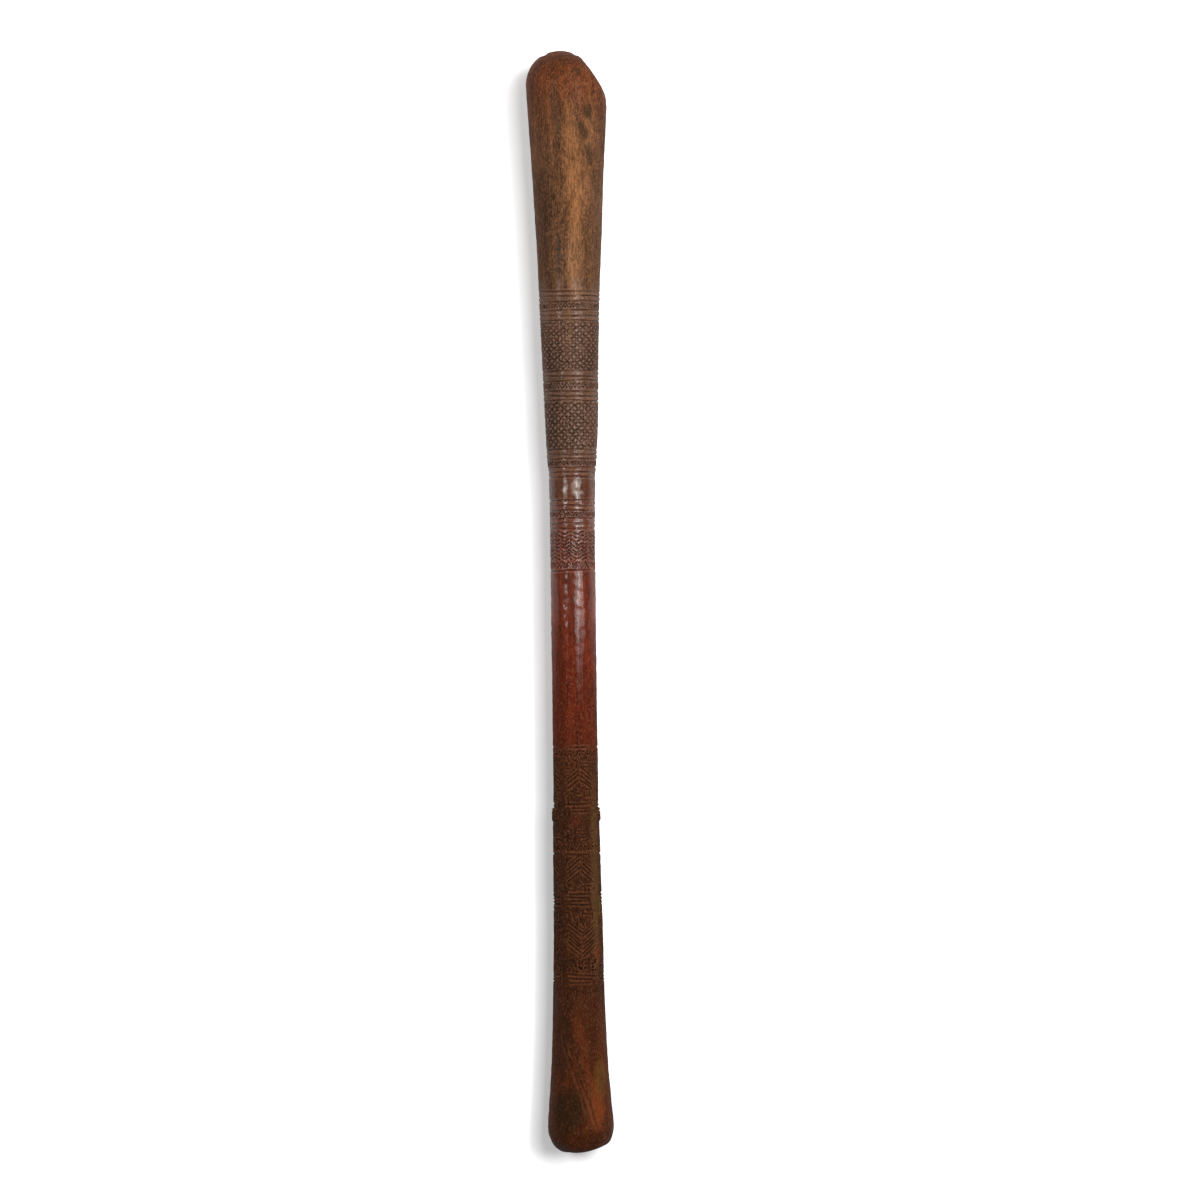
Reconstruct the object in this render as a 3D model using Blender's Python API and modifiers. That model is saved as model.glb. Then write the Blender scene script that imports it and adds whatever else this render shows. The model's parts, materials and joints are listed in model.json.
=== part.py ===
"""Carved hardwood didgeridoo, lying along Y on a flat surface.

The mouth end points to -Y, and the bell end, the wider one, to +Y. The wooden body is one hollow
turned blank with V grooves round it in sets of three. Its domed crown leans to the left, and two
plane cuts shape its worn ends: a facet off the crown's right shoulder, and a slant across the rim of
the mouth. A beeswax ring lines the mouth.
All sizes are in metres. Distances along the body are counted from the mouth end.
"""

import math

import bmesh
import bpy
from mathutils import Matrix

# Zones along the body, from the mouth end to the bell end.
MOUTH_FLARE = 0.182
LOWER_CARVING = 0.262
GRIP = 0.190
HEAD = 0.2625

# Upper carving: sets of three grooves, the bands between them from the head down, and the field
# of zigzags between the last set and the single groove at the grip.
GROOVE_PITCH = 0.0053
GROOVES_IN_SET = 3
BANDS = (0.0101, 0.0549, 0.0112, 0.0526, 0.0091, 0.0254, 0.0090)
ZIGZAG_FIELD = 0.0461
GROOVE_WIDTH = 0.0018
GROOVE_DEPTH = 0.0007

SET_HEIGHT = (GROOVES_IN_SET - 1) * GROOVE_PITCH
UPPER_CARVING = (len(BANDS) + 1) * SET_HEIGHT + sum(BANDS) + ZIGZAG_FIELD
LENGTH = MOUTH_FLARE + LOWER_CARVING + GRIP + UPPER_CARVING + HEAD

# Outer radii where the outline changes.
MOUTH_RADIUS = 0.0357
FLARE_RADIUS = 0.0304
LOWER_CARVING_RADIUS = 0.0274
LOWER_TAPER_RADIUS = 0.0252
WAIST_RADIUS = 0.0240
RING_RADIUS = 0.0250
SHOULDER_RADIUS = 0.0268
UPPER_CARVING_RADIUS = 0.0328
NECK_RADIUS = 0.0373
HEAD_RADIUS = 0.0442

# Where the flare's and the neck's rings stand, as shares of their zones from the mouth's side.
FLARE_SHARE = 0.55
NECK_SHARE = 0.39

# Raised collar in the lower carving: its height, length and distance below the grip.
COLLAR_HEIGHT = 0.0014
COLLAR_LENGTH = 0.018
COLLAR_BELOW_GRIP = 0.067
COLLAR_EDGE = 0.003

# Rounding of the mouth rim along the body, and the flat that is left round each opening.
MOUTH_ROUNDING = 0.028
RIM_FLAT = 0.0015

# The bore, and the seat that widens it for the wax. The gap parts the wax from the wood.
BORE_RADIUS = 0.0140
SEAT_STEP = 0.0020
SEAT_DEPTH = 0.030
GAP = 0.0003
SEAT_RADIUS = BORE_RADIUS + SEAT_STEP

# Crown of the bell end: the height of its full dome, how much of that the opening's rim cuts off,
# the width of the lip between the rim's flat and the dome, and how far the top leans to the left.
CROWN_HEIGHT = 0.038
CROWN_CUT = 0.0014
CROWN_LIP = 0.002
CROWN_LEAN = 0.0082

# Plane cuts, with their slopes from square to the body. The facet's plane passes a point this far
# inside the crown's side and below the end. The slant leaves the mouth's face this far off the axis.
FACET_INSET = 0.0157
FACET_BELOW = 0.0245
FACET_SLOPE = math.radians(56.5)
SLANT_START = 0.0055
SLANT_SLOPE = math.radians(17.4)

# The beeswax ring: how far its opening stands inside the bore, the taper that leads from it to the
# bore, the rounding of its lip, and how far its face lies below the slant's lowest cut of the seat.
WAX_INSET = 0.0010
WAX_TAPER = 0.0040
WAX_LIP = 0.0010
WAX_SHELTER = 0.0002
WAX_OPENING_RADIUS = BORE_RADIUS - WAX_INSET
WAX_RECESS = (SEAT_RADIUS - SLANT_START) * math.tan(SLANT_SLOPE) + WAX_SHELTER

# How finely round shapes are divided, and how far plain rings of the outline keep from a detail.
ROUND_STEPS = 36
ARC_STEPS = 7
LIP_STEPS = 2
BORE_BENDS = 4
OUTLINE_STEP = 0.030
DETAIL_CLEARANCE = 0.006
CUTTER_SIZE = 0.200
MERGE_DISTANCE = 0.00001


def clear_scene():
    for item in list(bpy.data.objects):
        bpy.data.objects.remove(item, do_unlink=True)


def make_collection(name):
    collection = bpy.data.collections.new(name)
    bpy.context.scene.collection.children.link(collection)
    return collection


def make_material(name, colour, roughness):
    material = bpy.data.materials.new(name)
    material.use_nodes = True
    shader = material.node_tree.nodes["Principled BSDF"]
    shader.inputs["Base Color"].default_value = (*colour, 1.0)
    shader.inputs["Roughness"].default_value = roughness
    shader.inputs["Metallic"].default_value = 0.0
    return material


def outline_stations():
    """Rings that the outline passes through: (distance from the mouth end, outer radius)."""
    grip = MOUTH_FLARE + LOWER_CARVING
    bands = grip + GRIP
    head = bands + UPPER_CARVING
    ring = bands + ZIGZAG_FIELD + 2 * SET_HEIGHT + BANDS[-1]
    shoulder = ring + BANDS[-2] + 2 * SET_HEIGHT
    return (
        (MOUTH_ROUNDING, MOUTH_RADIUS),
        (FLARE_SHARE * MOUTH_FLARE, FLARE_RADIUS),
        (MOUTH_FLARE, LOWER_CARVING_RADIUS),
        (grip - COLLAR_BELOW_GRIP - 2 * COLLAR_LENGTH, LOWER_TAPER_RADIUS),
        (grip - COLLAR_BELOW_GRIP + COLLAR_LENGTH, WAIST_RADIUS),
        (bands, WAIST_RADIUS),
        (ring + BANDS[-2], RING_RADIUS),
        (shoulder, SHOULDER_RADIUS),
        (head, UPPER_CARVING_RADIUS),
        (head + NECK_SHARE * HEAD, NECK_RADIUS),
        (LENGTH + CROWN_CUT - CROWN_HEIGHT, HEAD_RADIUS),
    )


def smooth_radius(stations, distance):
    """Radius at a distance, on a curve through the stations that never swings past them."""
    slopes = [
        (after[1] - before[1]) / (after[0] - before[0])
        for before, after in zip(stations, stations[1:])
    ]
    tangents = [slopes[0]]
    for left, right in zip(slopes, slopes[1:]):
        same_way = left * right > 0
        tangents.append(2 * left * right / (left + right) if same_way else 0.0)
    tangents.append(slopes[-1])
    for index, (before, after) in enumerate(zip(stations, stations[1:])):
        if distance <= after[0]:
            break
    span = after[0] - before[0]
    t = (distance - before[0]) / span
    return (
        (2 * t**3 - 3 * t**2 + 1) * before[1]
        + (t**3 - 2 * t**2 + t) * span * tangents[index]
        + (3 * t**2 - 2 * t**3) * after[1]
        + (t**3 - t**2) * span * tangents[index + 1]
    )


def groove_distances():
    """Centres of the grooves of the upper carving, from the head down to the grip."""
    place = LENGTH - HEAD
    distances = []
    for band in (*BANDS, ZIGZAG_FIELD):
        distances += [place - i * GROOVE_PITCH for i in range(GROOVES_IN_SET)]
        place -= SET_HEIGHT + band
    return [*distances, place]


def collar_height(distance):
    """Height of the raised collar above the outline."""
    top = MOUTH_FLARE + LOWER_CARVING - COLLAR_BELOW_GRIP
    inside = min(top - distance, distance - (top - COLLAR_LENGTH))
    return COLLAR_HEIGHT * min(max(inside / COLLAR_EDGE, 0.0), 1.0)


def mouth_rim():
    """Quarter ellipse from the rim's flat to the widest ring, as (distance, radius) points."""
    flat = SEAT_RADIUS + RIM_FLAT
    points = []
    for step in range(ARC_STEPS + 1):
        angle = 0.5 * math.pi * step / ARC_STEPS
        radius = flat + (MOUTH_RADIUS - flat) * math.sin(angle)
        points.append((MOUTH_ROUNDING * (1 - math.cos(angle)), radius))
    return points


def crown_rim():
    """The dome from its foot up to the opening's flat rim, as (distance, radius) points."""
    flat = BORE_RADIUS + RIM_FLAT
    top = math.asin((flat + CROWN_LIP) / HEAD_RADIUS)
    points = []
    for step in range(ARC_STEPS + 1):
        angle = 0.5 * math.pi + (top - 0.5 * math.pi) * step / ARC_STEPS
        distance = LENGTH + CROWN_CUT - CROWN_HEIGHT * (1 - math.cos(angle))
        points.append((distance, HEAD_RADIUS * math.sin(angle)))
    return [*points, (LENGTH, flat)]


def crown_shift(distance):
    """How far the body's centre line stands to the left of the straight axis."""
    below_top = (LENGTH + CROWN_CUT - distance) / CROWN_HEIGHT
    if below_top >= 1:
        return 0.0
    return CROWN_LEAN * (1 - math.sqrt(1 - (1 - below_top) ** 2))


def outer_side():
    """The body's outer side as (distance, radius) points, from the mouth to the bell."""
    stations = outline_stations()
    low, high = stations[0][0], stations[-1][0]
    grooves = groove_distances()
    half = 0.5 * GROOVE_WIDTH
    collar_top = MOUTH_FLARE + LOWER_CARVING - COLLAR_BELOW_GRIP
    collar = [
        collar_top,
        collar_top - COLLAR_EDGE,
        collar_top - COLLAR_LENGTH + COLLAR_EDGE,
        collar_top - COLLAR_LENGTH,
    ]
    steps = math.ceil((high - low) / OUTLINE_STEP)
    plain = [low + (high - low) * step / steps for step in range(1, steps)]
    fixed = [*collar, *grooves]
    plain = [x for x in plain if min(abs(x - other) for other in fixed) > DETAIL_CLEARANCE]
    points = [(x, smooth_radius(stations, x) + collar_height(x)) for x in [*plain, *collar]]
    for centre in grooves:
        radius = smooth_radius(stations, centre)
        points += [(centre - half, radius), (centre, radius - GROOVE_DEPTH), (centre + half, radius)]
    return [*mouth_rim(), *sorted(points), *crown_rim()]


def bore_side():
    """The wall of the bore as (distance, radius) points, from the mouth to the bell."""
    foot = LENGTH + CROWN_CUT - CROWN_HEIGHT
    crown = [foot + (LENGTH - foot) * step / BORE_BENDS for step in range(BORE_BENDS + 1)]
    seat = [(0.0, SEAT_RADIUS), (SEAT_DEPTH, SEAT_RADIUS), (SEAT_DEPTH, BORE_RADIUS)]
    return [*seat, *((distance, BORE_RADIUS) for distance in crown)]


def wax_section():
    """Section of the beeswax ring: its outer wall, then its opening back to the face."""
    face = WAX_RECESS
    end = SEAT_DEPTH - GAP
    outer = SEAT_RADIUS - GAP
    wall = [(face, outer), (end, outer)]
    opening = [(end, BORE_RADIUS), (end - WAX_TAPER, WAX_OPENING_RADIUS)]
    for step in range(LIP_STEPS + 1):
        angle = 0.5 * math.pi * step / LIP_STEPS
        distance = face + WAX_LIP * (1 - math.sin(angle))
        opening.append((distance, WAX_OPENING_RADIUS + WAX_LIP * (1 - math.cos(angle))))
    return wall, opening


def turned_object(name, outer, inner, material, collection):
    """Ring-shaped solid turned from a section: outer side and inner side, each mouth to bell."""
    loop = [*reversed(outer), *inner]
    mesh = bpy.data.meshes.new(name)
    vertices = [(radius, 0.0, distance) for distance, radius in loop]
    edges = [(i, (i + 1) % len(loop)) for i in range(len(loop))]
    mesh.from_pydata(vertices, edges, [])
    mesh.materials.append(material)
    turned = bpy.data.objects.new(name, mesh)
    collection.objects.link(turned)
    screw = turned.modifiers.new("turn", "SCREW")
    screw.axis = "Z"
    screw.angle = 2 * math.pi
    screw.steps = ROUND_STEPS
    screw.render_steps = ROUND_STEPS
    screw.use_merge_vertices = True
    screw.merge_threshold = MERGE_DISTANCE
    screw.use_smooth_shade = True
    return turned


def lean_crown(turned):
    """Gives the object its turned mesh for good, with the crown pushed over to the left."""
    graph = bpy.context.evaluated_depsgraph_get()
    mesh = bpy.data.meshes.new_from_object(turned.evaluated_get(graph))
    turned.modifiers.clear()
    turned.data = mesh
    for vertex in mesh.vertices:
        vertex.co.x -= crown_shift(vertex.co.z)


def plane_cutter(name, across, distance, slope, collection):
    """Block whose one face is the cutting plane. A slope over a right angle cuts towards the mouth."""
    shape = bmesh.new()
    bmesh.ops.create_cube(shape, size=CUTTER_SIZE)
    lift = Matrix.Translation((0.0, 0.0, 0.5 * CUTTER_SIZE))
    turn = Matrix.Rotation(slope, 4, "Y")
    place = Matrix.Translation((across, 0.0, distance))
    bmesh.ops.transform(shape, matrix=place @ turn @ lift, verts=shape.verts)
    mesh = bpy.data.meshes.new(name)
    shape.to_mesh(mesh)
    shape.free()
    cutter = bpy.data.objects.new(name, mesh)
    cutter.hide_render = True
    cutter.display_type = "WIRE"
    collection.objects.link(cutter)
    return cutter


def cut_away(body, cutter):
    cut = body.modifiers.new("cut_" + cutter.name, "BOOLEAN")
    cut.operation = "DIFFERENCE"
    cut.solver = "EXACT"
    cut.object = cutter


def resting_frame():
    """Empty at the mouth end's centre, its Z along the body, which rests on both wide rings."""
    stations = outline_stations()
    mouth_ring, bell_ring = stations[0], stations[-1]
    lean = math.atan2(bell_ring[1] - mouth_ring[1], bell_ring[0] - mouth_ring[0])
    lowest = max(radius * math.cos(lean) - x * math.sin(lean) for x, radius in outer_side())
    frame = bpy.data.objects.new("resting_frame", None)
    bpy.context.scene.collection.objects.link(frame)
    frame.location = (0.0, -0.5 * LENGTH * math.cos(lean), lowest)
    frame.rotation_euler = (lean - 0.5 * math.pi, 0.0, 0.0)
    return frame


def build():
    clear_scene()
    parts = make_collection("didgeridoo")
    cutters = make_collection("cutters")
    wood = make_material("carved_hardwood", (0.16, 0.065, 0.032), 0.42)
    wax = make_material("beeswax", (0.33, 0.20, 0.075), 0.5)

    body = turned_object("wooden_body", outer_side(), bore_side(), wood, parts)
    lean_crown(body)
    facet_across = HEAD_RADIUS - FACET_INSET
    facet = plane_cutter("facet", facet_across, LENGTH - FACET_BELOW, FACET_SLOPE, cutters)
    slant = plane_cutter("slant", SLANT_START, 0.0, math.pi - SLANT_SLOPE, cutters)
    cut_away(body, facet)
    cut_away(body, slant)

    wall, opening = wax_section()
    ring = turned_object("wax_mouthpiece", wall, list(reversed(opening)), wax, parts)

    frame = resting_frame()
    for item in (body, facet, slant, ring):
        item.parent = frame


build()
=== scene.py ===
"""Looks of a carved hardwood didgeridoo that lies on a pale studio floor.

The body is one fine mesh, built ring by ring along the stick's axis, with every groove, lattice,
chevron and pit cut into it the way a knife would. A beeswax ring, dented by lips, lines its mouth.
All sizes are in metres. Distances along the stick are counted from the mouth end, and angles round
it from its top towards +X.
"""

import json
import math

import bpy
import numpy as np
from mathutils import Matrix, Vector


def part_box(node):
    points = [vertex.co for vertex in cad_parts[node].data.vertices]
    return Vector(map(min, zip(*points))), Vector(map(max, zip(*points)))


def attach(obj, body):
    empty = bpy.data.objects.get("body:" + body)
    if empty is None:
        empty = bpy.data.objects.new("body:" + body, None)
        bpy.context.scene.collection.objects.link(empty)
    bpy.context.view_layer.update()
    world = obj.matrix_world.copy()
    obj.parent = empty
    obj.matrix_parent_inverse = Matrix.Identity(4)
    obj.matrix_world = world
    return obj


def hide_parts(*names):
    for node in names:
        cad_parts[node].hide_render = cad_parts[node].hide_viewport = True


TURN = 2 * math.pi

# Zones along the stick, from the mouth end to the bell end.
MOUTH_FLARE = 0.182
LOWER_CARVING = 0.262
GRIP = 0.190
HEAD = 0.2625
GRIP_START = MOUTH_FLARE + LOWER_CARVING
UPPER_START = GRIP_START + GRIP

# Upper carving, from the head down. Below each set of ring grooves comes a band: its kind and height.
GROOVE_PITCH = 0.0053
GROOVES_IN_SET = 3
GROOVE_WIDTH = 0.0021
GROOVE_DEPTH = 0.0009
BANDS = (
    ("motifs", 0.0101),
    ("lattice", 0.0549),
    ("motifs", 0.0112),
    ("lattice", 0.0526),
    ("motifs", 0.0091),
    ("plain", 0.0254),
    ("motifs", 0.0090),
    ("zigzags", 0.0461),
)

# The outline's rings: distance and outer radius.
OUTLINE = (
    (0.0280, 0.0357),
    (0.1001, 0.0304),
    (0.1820, 0.0274),
    (0.3410, 0.0252),
    (0.3950, 0.0240),
    (0.6340, 0.0240),
    (0.7359, 0.0250),
    (0.7571, 0.0268),
    (0.9372, 0.0328),
    (1.0396, 0.0373),
    (1.1631, 0.0442),
)
# How far the hand-cut side stands out past the outline.
FULLNESS = 0.00045
# How the centre line wanders: distance, shift to the left of the axis.
WANDER = (
    (0.00, 0.0000),
    (0.15, 0.0003),
    (0.25, -0.0001),
    (0.33, 0.0005),
    (0.60, 0.0003),
    (0.80, -0.0004),
    (0.92, 0.0001),
    (1.00, -0.0003),
    (1.20, -0.0002),
)

# The bore, the flat round each of its openings, and the small corners where it meets them.
BORE_RADIUS = 0.0140
RIM_FLAT = 0.0015
BELL_CORNER = 0.0006
BELL_LIP_RISE = 0.0002
BELL_THROAT = 0.0030
BORE_UNEVENNESS = 0.0003

# The mouth end: its rounding, the seat that widens the bore, and the slanted cut with its worn edge.
MOUTH_ROUNDING = 0.028
SEAT_RADIUS = 0.0160
SEAT_DEPTH = 0.030
SEAT_CORNER = 0.0003
SLANT_START = 0.0055
SLANT_SLOPE = math.radians(17.4)
SLANT_EDGE = 0.0015

# The wax ring in its seat, and how deep lips have pressed it.
GAP = 0.0003
WAX_RECESS = 0.0035
WAX_OPENING_RADIUS = 0.0130
WAX_LIP = 0.0012
WAX_SHOULDER = 0.0009
WAX_BACK_CORNER = 0.0004
WAX_TAPER = 0.004
WAX_DENTS = 0.00018

# The crown at the bell end, how far its top leans to the left, and how its rim sags at the sides.
CROWN_HEIGHT = 0.038
CROWN_CUT = 0.0014
CROWN_LIP = 0.002
CROWN_LEAN = 0.0082
RIM_SAG = 0.0022
RIM_SAG_RADII = (0.0165, 0.028)
RIM_SAG_REACH = (0.030, 0.004)
RIM_CENTRE = 0.73 * CROWN_LEAN
SAG_LEFT = 0.85
SAG_RIGHT = 1.15

# The worn facet on the crown: its plane, its worn edge, and the hollow pressed into its upper part,
# whose middle is given as (distance to the right of the axis, distance below the end).
FACET_INSET = 0.0152
FACET_BELOW = 0.0245
FACET_SLOPE = math.radians(56.5)
FACET_EDGE = 0.0033
FACET_HOLLOW = 0.0008
FACET_HOLLOW_PLACE = (0.0215, 0.0145)
FACET_HOLLOW_SIZE = 0.006
FACET_HOLLOW_STRETCH = 0.35
FACET_HOLLOW_REACH = (0.004, 0.009)

# Raised collar in the lower carving, highest at the two sides.
COLLAR = 0.368
COLLAR_HALF_LENGTH = 0.009
COLLAR_HEIGHT = 0.0016

# Radii between which the hand-cut unevenness grows from nothing at the ends' rims to its full height.
HAND_WORK_RADII = (0.017, 0.024)
# Uncut wood within this many cells of cuts this deep is a ridge, painted paler: partly the wear of
# hands, partly a painted highlight.
RIDGE_DEPTH = 0.0003
RIDGE_REACH = 4

# Fineness of the meshes: columns round them, and steps along them.
COLUMNS = 352
WAX_COLUMNS = 96
CARVED_STEP = 0.00058
PLAIN_STEP = 0.0014
BORE_STEP = 0.012
MOUTH_STEPS = 26
CROWN_STEPS = 34
LIP_STEPS = 5
CORNER_STEPS = 4
# How far the fine steps run on past the carving.
CARVING_MARGIN = 0.004


def tone(red, green, blue):
    """Linear colour of an sRGB tone given as 0 to 255."""
    share = [value / 255 for value in (red, green, blue)]
    linear = [x / 12.92 if x <= 0.04045 else ((x + 0.055) / 1.055) ** 2.4 for x in share]
    return (*linear, 1.0)


def add(name, data):
    """A new object in the scene."""
    item = bpy.data.objects.new(name, data)
    bpy.context.scene.collection.objects.link(item)
    return item


def smoothstep(x, low, high):
    t = np.clip((x - low) / (high - low), 0.0, 1.0)
    return t * t * (3 - 2 * t)


def smooth_curve(stations, distances):
    """Values on a curve through the stations that never swings past them."""
    x, y = np.array(stations).T
    slopes = np.diff(y) / np.diff(x)
    left, right = slopes[:-1], slopes[1:]
    total = np.where(left + right == 0, 1.0, left + right)
    middle = np.where(left * right > 0, 2 * left * right / total, 0.0)
    tangents = np.concatenate([slopes[:1], middle, slopes[-1:]])
    inside = np.clip(distances, x[0], x[-1])
    index = np.clip(np.searchsorted(x, inside) - 1, 0, len(x) - 2)
    span = x[index + 1] - x[index]
    t = (inside - x[index]) / span
    return (
        (2 * t**3 - 3 * t**2 + 1) * y[index]
        + (t**3 - 2 * t**2 + t) * span * tangents[index]
        + (3 * t**2 - 2 * t**3) * y[index + 1]
        + (t**3 - t**2) * span * tangents[index + 1]
    )


# --- Place of the stick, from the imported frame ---


def mount(name):
    found = next(item for item in frame["record"]["mounts"] if item["name"] == name)
    return Vector(found["pos_m"]), Vector(found["axis"]).normalized()


def stick_place():
    """The axis' point at the mouth end, the three directions of the stick, and its length."""
    bell_point, along = mount("bell_rim")
    wax_point, _ = mount("mouth_face")
    low, high = (Vector(corner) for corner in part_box("wax_mouthpiece"))
    wax_middle = (low + high) / 2
    foot = wax_middle + along * ((wax_point - wax_middle).dot(along) - WAX_RECESS)
    across = Vector((1.0, 0.0, 0.0))
    up = across.cross(along).normalized()
    length = (bell_point - foot).dot(along)
    return foot, across, along, up, length


# --- Sections of the two pieces ---


def arc(centre, half_axes, start, end, steps):
    """Points (distance, radius) on an ellipse's arc, its angles counted from the axis' direction."""
    angles = np.linspace(start, end, steps + 1)
    distances = centre[0] + half_axes[0] * np.cos(angles)
    radii = centre[1] + half_axes[1] * np.sin(angles)
    return np.stack([distances, radii], axis=1)


def level(distances, radius):
    """Points (distance, radius) at one radius."""
    return np.stack([distances, np.full_like(distances, radius)], axis=1)


def rounded_corner(before, corner, after, steps):
    """Points on a curve that leaves before, bends at the corner and reaches after."""
    t = np.linspace(0.0, 1.0, steps + 1)[:, None]
    before, corner, after = (np.array(point) for point in (before, corner, after))
    return (1 - t) ** 2 * before + 2 * t * (1 - t) * corner + t**2 * after


def side_distances():
    """Distances of the side's rings, close together where the stick is carved."""
    lower = (MOUTH_FLARE - CARVING_MARGIN / 2, GRIP_START + CARVING_MARGIN)
    upper = (UPPER_START - CARVING_MARGIN, LENGTH - HEAD + CARVING_MARGIN)
    corners = [OUTLINE[0][0], *lower, *upper, LENGTH + CROWN_CUT - CROWN_HEIGHT]
    pieces = []
    for index, (start, end) in enumerate(zip(corners, corners[1:])):
        step = CARVED_STEP if index % 2 else PLAIN_STEP
        count = math.ceil((end - start) / step)
        pieces.append(np.linspace(start, end, count, endpoint=False))
    return np.concatenate(pieces)


def bell_end():
    """The crown over the bell, the lip of its rim, and the corner that leads into the bore."""
    foot = LENGTH + CROWN_CUT - CROWN_HEIGHT
    flat = BORE_RADIUS + RIM_FLAT
    top = math.asin((flat + CROWN_LIP) / OUTLINE[-1][1])
    crown = arc((foot, 0.0), (CROWN_HEIGHT, OUTLINE[-1][1]), math.pi / 2, top, CROWN_STEPS)
    brow = (LENGTH + BELL_LIP_RISE, flat + BELL_CORNER)
    rim = (LENGTH - BELL_LIP_RISE, flat - BELL_CORNER)
    lip = rounded_corner(crown[-1], brow, rim, LIP_STEPS)
    corner = (LENGTH - BELL_CORNER, BORE_RADIUS)
    throat = (LENGTH - BELL_THROAT, BORE_RADIUS)
    return crown, lip[1:], rounded_corner(lip[-1], corner, throat, CORNER_STEPS)[1:]


def mouth_end():
    """The rounding of the mouth end, and the seat with the corner that leads out to it."""
    flat = SEAT_RADIUS + RIM_FLAT
    half_axes = (MOUTH_ROUNDING, OUTLINE[0][1] - flat)
    rounding = arc((MOUTH_ROUNDING, flat), half_axes, math.pi, math.pi / 2, MOUTH_STEPS)
    seat = [
        (SEAT_DEPTH + 0.0002, BORE_RADIUS),
        (SEAT_DEPTH, BORE_RADIUS + SEAT_CORNER),
        (SEAT_DEPTH, SEAT_RADIUS - SEAT_CORNER),
        (SEAT_DEPTH - SEAT_CORNER, SEAT_RADIUS),
        (SEAT_DEPTH / 2, SEAT_RADIUS),
        (0.0030, SEAT_RADIUS),
    ]
    inner, outer = (0.0016, SEAT_RADIUS), (0.0, flat - SEAT_CORNER)
    corner = rounded_corner(inner, (0.0, SEAT_RADIUS + 0.0001), outer, CORNER_STEPS)
    return rounding, np.concatenate([seat, corner])


def body_section():
    """The closed section of the body: its outside from mouth to bell, its inside back, and which
    points of the outside are the side between the two rounded ends."""
    rounding, seat = mouth_end()
    crown, lip, bell_corner = bell_end()
    side = side_distances()
    side = np.stack([side, smooth_curve(OUTLINE, side)], axis=1)[1:]
    bore = level(np.arange(LENGTH - 0.006, SEAT_DEPTH + 0.004, -BORE_STEP), BORE_RADIUS)
    outside = np.concatenate([rounding, side, crown, lip])
    inside = np.concatenate([bell_corner, bore, seat])
    return outside, inside, slice(len(rounding), len(rounding) + len(side))


def wax_section():
    """Closed section of the beeswax ring, softly rounded where lips have pressed it."""
    outer, inner = SEAT_RADIUS - GAP, WAX_OPENING_RADIUS
    front, end = WAX_RECESS, SEAT_DEPTH - GAP
    wall = [(front + WAX_SHOULDER, outer), (end - WAX_BACK_CORNER, outer)]
    back = rounded_corner(wall[1], (end, outer), (end, outer - WAX_BACK_CORNER), 3)
    opening = [(end, BORE_RADIUS + 0.0001), (end - WAX_TAPER, inner)]
    lip = rounded_corner((front + WAX_LIP, inner), (front, inner), (front, inner + WAX_LIP), 6)
    shoulder = rounded_corner((front, outer - WAX_SHOULDER), (front, outer), wall[0], 4)
    inside = level(np.linspace(end - WAX_TAPER, front + WAX_LIP, 12)[1:-1], inner)
    return np.concatenate([wall, back[1:], opening, inside, lip, shoulder[:-1]])


# --- Knife work ---

# Cuts of the knife, as width and depth.
ZIGZAG_CUT = (0.0018, 0.0011)
TOOTH_CUT = (0.0016, 0.0010)
TICK_CUT = (0.0016, 0.0009)
LATTICE_CUT = (0.0022, 0.0012)
CHEVRON_CUT = (0.0022, 0.0012)
FIELD_CUT = (0.0023, 0.0014)
BAR_CUT = (0.0023, 0.0012)
STROKE_CUT = (0.0020, 0.0012)
FURROW_CUT = (0.0042, 0.0008)
NICK_WIDTH = 0.0012
# Pits left by the turned point of the knife, as size and depth.
WIDE_PIT = (0.0028, 0.0012)
TOOTH_PIT = (0.0026, 0.0012)
FIELD_PIT = (0.0026, 0.0013)
VALLEY_PIT = (0.0024, 0.0011)
SMALL_PIT = (0.0023, 0.0011)
# How much the depth of one cut differs from the next, and how far the ends of a cut stray.
DEPTH_SPREAD = (0.60, 1.15)
NEAT = 0.0002
HASTY = 0.0005
SEED = 11

# Sizes of the figures: pitch round the stick or along it, margins, and counts in the zigzag field.
BAND_MARGIN = 0.0006
MOTIF_PITCH = 0.0092
LATTICE_PITCH = 0.0076
LATTICE_ROW = 0.0066
STROKE_PITCH = 0.0012
BAR_PITCH = 0.0042
CHEVRON_PITCH = 0.0044
CHEVRON_SLOPE = 0.75
FIELD_COLUMNS = 11
FIELD_PITCH = 0.0038
FIELD_PITS = 8
FIELD_FOOT = 0.0085
FIELD_MARGIN = 0.002
PITS_IN_PANEL = 26
NICKS = 150


def deepen(grid, rows, columns, shape):
    """Presses a shape into part of a grid, where it is deeper than what is there."""
    cells = np.ix_(rows, columns % COLUMNS)
    grid[cells] = np.maximum(grid[cells], shape)


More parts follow.
